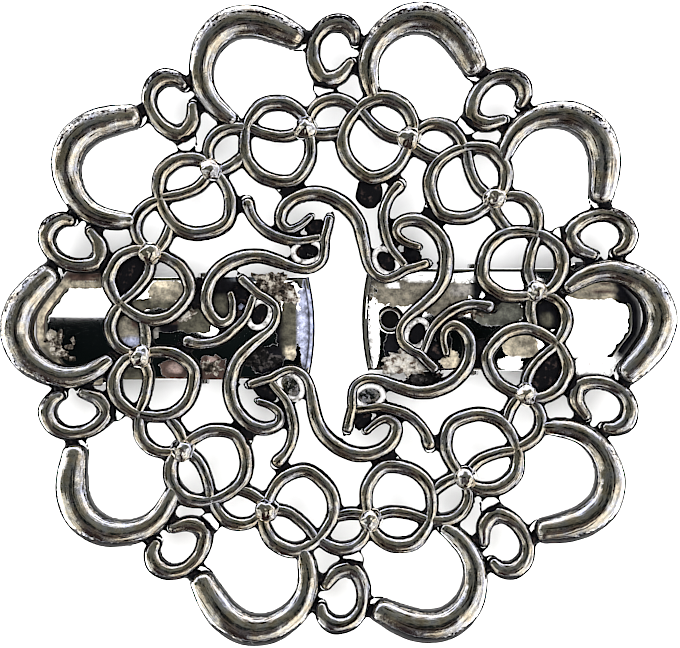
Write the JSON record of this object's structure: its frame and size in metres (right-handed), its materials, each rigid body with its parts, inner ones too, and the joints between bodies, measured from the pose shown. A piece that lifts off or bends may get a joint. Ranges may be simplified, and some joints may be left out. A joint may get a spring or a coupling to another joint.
{
  "type": "cardigan clip",
  "caption": "Round openwork scroll rosette with two sprung toothed clips fixed behind it, back to back, to hold a cardigan's edges together.",
  "frame": {"origin": "on the surface that it rests on, under the middle of the rosette", "axes": "+Z out of the decorated face, +X along the clips towards the right mouth, +Y across them"},
  "size_m": [0.0612, 0.0582, 0.0073],
  "materials": {
    "antique_silver": "polished silver-coloured casting of round strands, blackened where they meet",
    "nickel": "polished nickel plate",
    "steel": "drawn steel wire"
  },
  "bodies": {
    "base": {"rosette": "antique_silver", "left_pin": "steel", "right_pin": "steel", "left_spring": "steel", "right_spring": "steel"},
    "left_lever": {"left_jaw": "nickel"},
    "right_lever": {"right_jaw": "nickel"}
  },
  "joints": [
    {"name": "left_hinge", "type": "hinge", "parent": "base", "child": "left_lever", "pos_m": [-0.0123, -0.0004, 0.0024], "axis": [0, -1, 0], "range_deg": [0, 18], "stiffness_Nm_per_rad": 0.012, "springref_deg": -28.65, "deforming": ["left_spring"]},
    {"name": "right_hinge", "type": "hinge", "parent": "base", "child": "right_lever", "pos_m": [0.0123, 0.0004, 0.0024], "axis": [0, 1, 0], "range_deg": [0, 18], "stiffness_Nm_per_rad": 0.012, "springref_deg": -28.65, "deforming": ["right_spring"]}
  ]
}
